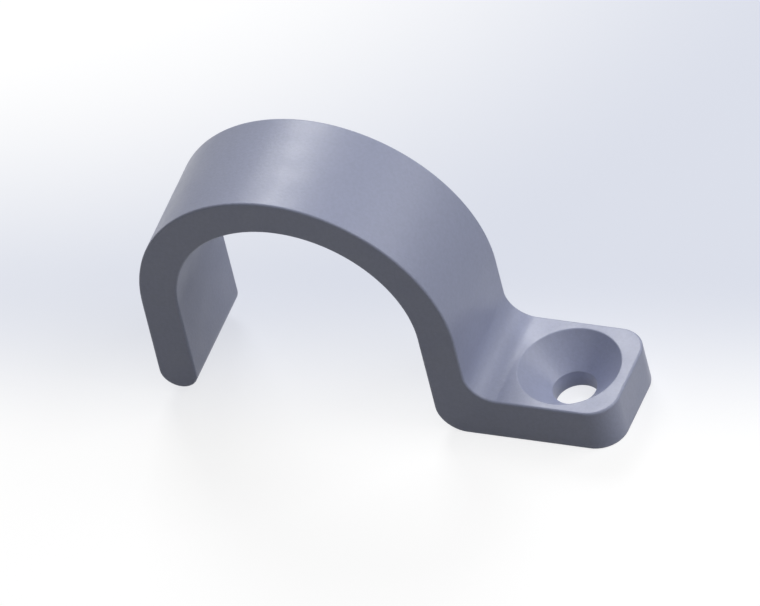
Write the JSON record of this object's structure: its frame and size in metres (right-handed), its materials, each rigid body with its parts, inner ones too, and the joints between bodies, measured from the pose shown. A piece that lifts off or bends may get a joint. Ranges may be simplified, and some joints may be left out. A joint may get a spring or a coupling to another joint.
{
  "type": "conduit hook",
  "caption": "Moulded conduit hook: a half-round strap over the conduit, with a free leg on one side and a countersunk screw foot on the other.",
  "frame": {"origin": "centre of the screw hole, on the underside of the foot, which is the surface that the hook is screwed to", "axes": "+X along the foot, away from the conduit; +Y across the strap, along the conduit; +Z away from the surface, up the screw hole"},
  "size_m": [0.0486, 0.012, 0.0292],
  "materials": {
    "moulded_plastic": "satin"
  },
  "bodies": {
    "root": {"conduit_hook": "moulded_plastic"}
  },
  "joints": []
}
